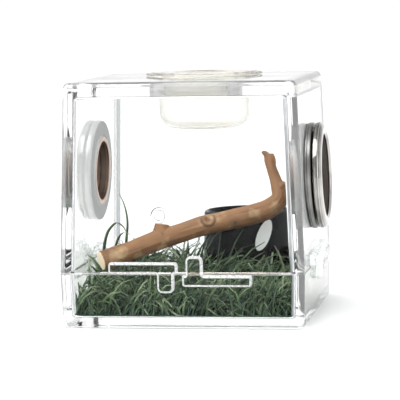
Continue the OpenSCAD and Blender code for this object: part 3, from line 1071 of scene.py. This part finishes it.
def build_badge(place, tall):
    """A plain oval patch that follows the hide's round wall."""
    half_w, half_h, thick, sink, rounding = 2.9 * MM, 7 * MM, 0.4 * MM, 0.02 * MM, 0.15 * MM
    turn, middle_z, lean = math.radians(28), 26.6 * MM, math.radians(-24)
    count, around = 8, 48

    def oval(share, lift):
        """The oval at a share of its size, lifted off the hide's wall."""
        ring = []
        for i in range(around):
            t = 2 * math.pi * i / around
            u, v = half_w * share * math.cos(t), half_h * share * math.sin(t)
            across = u * math.cos(lean) - v * math.sin(lean)
            z = middle_z + u * math.sin(lean) + v * math.cos(lean)
            wall_r = HIDE_RADIUS - HIDE_TAPER * z / tall
            where, r = turn + across / wall_r, wall_r + lift
            ring.append(place @ Vector((r * math.sin(where), -r * math.cos(where), z)))
        return ring

    shares = [k / count for k in range(1, count + 1)]
    front = [oval(share, thick - (rounding if share == 1 else 0)) for share in shares]
    back = [oval(share, sink) for share in reversed(shares)]
    piece = make_object("plain_patch", mesh_from("plain_patch", *capped(front + back)), [PATCH], "hide_badge")
    shade(piece, 50)


# ---------------------------------------------------------------- turf


def build_backing():
    half = BACKING_HIGH.x
    low, high = BACKING_LOW.z, BACKING_HIGH.z
    steps = [(half - 0.2 * MM, low + 0.02 * MM), (half, low + 0.2 * MM), (half, high - 0.3 * MM),
             (half - 0.3 * MM, high)]
    rings = [rounded_square(reach, CORNER_R, z) for reach, z in steps]
    piece = make_object("turf_backing_sheet", mesh_from("turf_backing_sheet", *capped(rings)), [BACKING],
                        "turf_backing")
    shade(piece)


def stick_floor(x, y):
    """Height of the stick's underside over a place, or None where the stick isn't above it."""
    best = None
    for px, py, pz, r in STICK_LINE:
        away = math.hypot(x - px * MM, y - py * MM)
        if away < (r + 0.6) * MM:
            under = pz * MM - math.sqrt(max((r * MM) ** 2 - away ** 2, 0))
            best = under if best is None else min(best, under)
    return best


STICK_LINE = spline(STICK, 3)
# A blade bends over to this many radians from upright at most
MOST_TILT = 2.2
# Share of the blades that lean the same way, and of those that stand out above the rest
COMBED_SHARE = 0.65
TALL_SHARE = 0.12


def blade_points(root, heading, height, lean, curl, steps):
    """The middle line of a blade that starts upright and bends over along its heading."""
    points = [root]
    tilt = lean * 0.25
    here = root
    for i in range(steps):
        tilt = min(tilt + (lean * 0.75 + curl * i / steps) / steps * 1.6, MOST_TILT)
        flat = math.sin(tilt)
        way = Vector((math.cos(heading) * flat, math.sin(heading) * flat, math.cos(tilt)))
        here = here + way * (height / steps)
        points.append(here)
    return points


def add_blade(verts, faces, tones_and_painted_light, points, width, tint, twist):
    """A closed three-sided blade along points, wide at its root and pointed at its tip."""
    first = len(verts)
    count = len(points)
    for i, p in enumerate(points):
        ahead = (points[min(i + 1, count - 1)] - points[max(i - 1, 0)]).normalized()
        flat = Vector((math.cos(twist), math.sin(twist), 0))
        flat = (flat - ahead * flat.dot(ahead)).normalized()
        keel = ahead.cross(flat)
        share = i / (count - 1)
        half = 0.5 * width * (1 - 0.82 * share ** 1.6)
        verts += [p + flat * half, p - flat * half, p + keel * half * 0.35]
        # From root to tip the tint rises: painted shade low in the pile and painted light at the tips, over
        # the blade's own tone.
        tones_and_painted_light += [max(0.0, min(1.0, tint * (0.3 + 0.85 * share ** 0.7)))] * 3
    for i in range(count - 1):
        a, b = first + 3 * i, first + 3 * (i + 1)
        faces += [(a + k, a + (k + 1) % 3, b + (k + 1) % 3, b + k) for k in range(3)]
    faces.append((first, first + 1, first + 2))
    last = first + 3 * (count - 1)
    faces.append((last + 2, last + 1, last))


def build_turf():
    chance = random.Random(SEED)
    verts, faces, tones_and_painted_light = [], [], []
    half = PILE_HIGH.x + 0.6 * MM
    low = PILE_LOW.z - 0.1 * MM
    spacing = 2.35 * MM
    per_tuft = 3
    limit = CASE_HALF - TRAY_WALL - 1.2 * MM
    hide_middle = (HIDE_LOW + HIDE_HIGH) / 2
    count = int(2 * half / spacing)
    for a in range(count + 1):
        for b in range(count + 1):
            x0, y0 = -half + 2 * half * a / count, -half + 2 * half * b / count
            for _ in range(per_tuft):
                x = x0 + chance.uniform(-1, 1) * spacing * 0.6
                y = y0 + chance.uniform(-1, 1) * spacing * 0.6
                x, y = max(-half, min(half, x)), max(-half, min(half, y))
                if math.hypot(x - hide_middle.x, y - hide_middle.y) < HIDE_RADIUS + 0.7 * MM:
                    continue
                depth_share = (y + half) / (2 * half)
                height = chance.uniform(12, 19) * MM + 5 * MM * depth_share
                if chance.random() < TALL_SHARE:
                    height += chance.uniform(2, 6) * MM
                height += sum(tall * MM * math.exp(-((x / MM - cx) / rx) ** 2 - ((y / MM - cy) / ry) ** 2)
                              for cx, cy, rx, ry, tall in TALL_TUFTS)
                under = stick_floor(x, y)
                if under is not None:
                    height = min(height, (under - low) * 0.97)
                combed = chance.random() < COMBED_SHARE
                heading = chance.gauss(0.25, 1.0) if combed else chance.uniform(-math.pi, math.pi)
                lean = abs(chance.gauss(0.85, 0.4))
                curl = chance.uniform(0.3, 2.4)
                points = blade_points(Vector((x, y, low)), heading, height * 1.08, lean, curl, 5)
                for p in points:
                    inner = limit - max(0, SPLIT_Z - p.z) * TRAY_DRAFT
                    p.x, p.y = max(-inner, min(inner, p.x)), max(-inner, min(inner, p.y))
                    p.z = max(p.z, low)
                tint = chance.betavariate(1.7, 1.6)
                add_blade(verts, faces, tones_and_painted_light, points, chance.uniform(1.2, 1.9) * MM, tint,
                          chance.uniform(0, math.pi))
    for path in STRAYS:
        add_blade(verts, faces, tones_and_painted_light, [Vector(p) * MM for p in spline(path, 5)], 1.5 * MM, 0.6, 0.4)
    mesh = bpy.data.meshes.new("turf_blades")
    mesh.from_pydata([tuple(v) for v in verts], [], faces)
    mesh.attributes.new("tint", "FLOAT", "POINT").data.foreach_set("value", tones_and_painted_light)
    smooth(make_object("turf_blades", mesh, [BLADE], "turf_pile"))


# Places where the pile stands taller: x, y, their radii and the extra height, in millimetres
TALL_TUFTS = [(4, -4, 15, 7, 17), (-34, 0, 8, 8, 9), (-41, -20, 5, 14, 5)]

# Long loose blades, as paths given in millimetres
STRAYS = [
    [(-32, 2.5, 8), (-32.8, 2, 22), (-32.3, 2, 30), (-31.6, 2, 37.8), (-32.6, 2, 44.5), (-34.8, 2, 50)],
    [(-42, 1, 8), (-42, 0.5, 24), (-40.4, 0, 32.6), (-37.6, 0, 36.8), (-35.4, 0, 37.7), (-33, 0, 36),
     (-31.4, 0, 32.8)],
    [(-36, 0, 8), (-37, -3, 22), (-34.5, -6, 31), (-31.5, -7, 34.4), (-28.5, -7.5, 33.6)],
    [(-34, -28, 8), (-36, -30, 20), (-38.6, -33, 26), (-41, -35, 28.6)],
    [(-32, -35, 8), (-35, -37, 17), (-38, -38, 21), (-40.5, -39, 22.6)],
    [(30, -42, 6), (33, -42.5, 12), (36, -43, 17), (39, -43, 19)],
]

# ---------------------------------------------------------------- studio


def build_floor():
    size = 6.0
    work = bmesh.new()
    bmesh.ops.create_grid(work, x_segments=4, y_segments=4, size=size)
    mesh = bpy.data.meshes.new("studio_floor")
    work.to_mesh(mesh)
    work.free()
    floor = bpy.data.objects.new("studio_floor", mesh)
    floor.location.z = -0.02 * MM
    mesh.materials.append(studio_floor())
    bpy.context.scene.collection.objects.link(floor)


def add_lamp(name, kind, place, target, power):
    """A lamp that points at target. Returns its settings."""
    data = bpy.data.lights.new(name, kind)
    data.energy = power
    lamp = bpy.data.objects.new(name, data)
    lamp.location = place
    lamp.rotation_euler = (Vector(target) - lamp.location).to_track_quat("-Z", "Y").to_euler()
    bpy.context.scene.collection.objects.link(lamp)
    return data


def build_world():
    """White, but for a grey band well above the horizon, so that clear edges show as grey lines."""
    world = bpy.data.worlds.new("studio")
    bpy.context.scene.world = world
    world.use_nodes = True
    nodes, links = world.node_tree.nodes, world.node_tree.links
    back = nodes["Background"]
    where = nodes.new("ShaderNodeTexCoord")
    split = nodes.new("ShaderNodeSeparateXYZ")
    ramp = nodes.new("ShaderNodeValToRGB")
    stops = [(0.0, 1.0), (0.3, 1.0), (0.45, 0.62), (0.72, 0.62), (0.88, 1.0), (1.0, 1.0)]
    elements = ramp.color_ramp.elements
    while len(elements) < len(stops):
        elements.new(0.5)
    for element, (place, level) in zip(elements, stops):
        element.position = place
        element.color = (level, level, level, 1)
    links.new(where.outputs["Generated"], split.inputs["Vector"])
    links.new(split.outputs["Z"], ramp.inputs["Fac"])
    links.new(ramp.outputs["Color"], back.inputs["Color"])
    back.inputs["Strength"].default_value = 1.05


def build_camera():
    """The photo's view: slightly from the right, slightly from above, with a long lens."""
    azimuth, elevation, roll = math.radians(9.733), math.radians(5.777), math.radians(-1.195)
    distance, lens = 0.872, 185.2
    target = Vector((0.09, 0, 47.33)) * MM
    back = Vector((math.sin(azimuth) * math.cos(elevation), -math.cos(azimuth) * math.cos(elevation),
                   math.sin(elevation)))
    data = bpy.data.cameras.new("camera")
    data.lens = lens
    data.sensor_width = 36
    data.clip_start = 0.01
    camera = bpy.data.objects.new("camera", data)
    camera.location = target + back * distance
    camera.rotation_mode = "QUATERNION"
    spin = Matrix.Rotation(roll, 3, "Z").to_quaternion()
    camera.rotation_quaternion = (-back).to_track_quat("-Z", "Y") @ spin
    bpy.context.scene.collection.objects.link(camera)
    bpy.context.scene.camera = camera


def build_studio():
    build_floor()
    build_world()
    build_camera()
    key = add_lamp("key", "SUN", (-0.5, -0.45, 1.1), (0, 0, 0), 2.1)
    key.angle = math.radians(50)
    fill = add_lamp("fill", "AREA", (0.7, -0.5, 0.35), (0, 0, 0.05), 1.5)
    fill.size = 0.6
    scene = bpy.context.scene
    scene.view_settings.view_transform = "Standard"
    scene.cycles.transparent_max_bounces = 32
    scene.cycles.max_bounces = 64
    scene.cycles.transmission_bounces = 64


build_studio()
build_hood()
build_tray()
build_lugs()
for vent_side in VENT_SIDES:
    build_vent(vent_side)
build_cup()
build_plug()
build_stick()
build_hide()
build_backing()
build_turf()
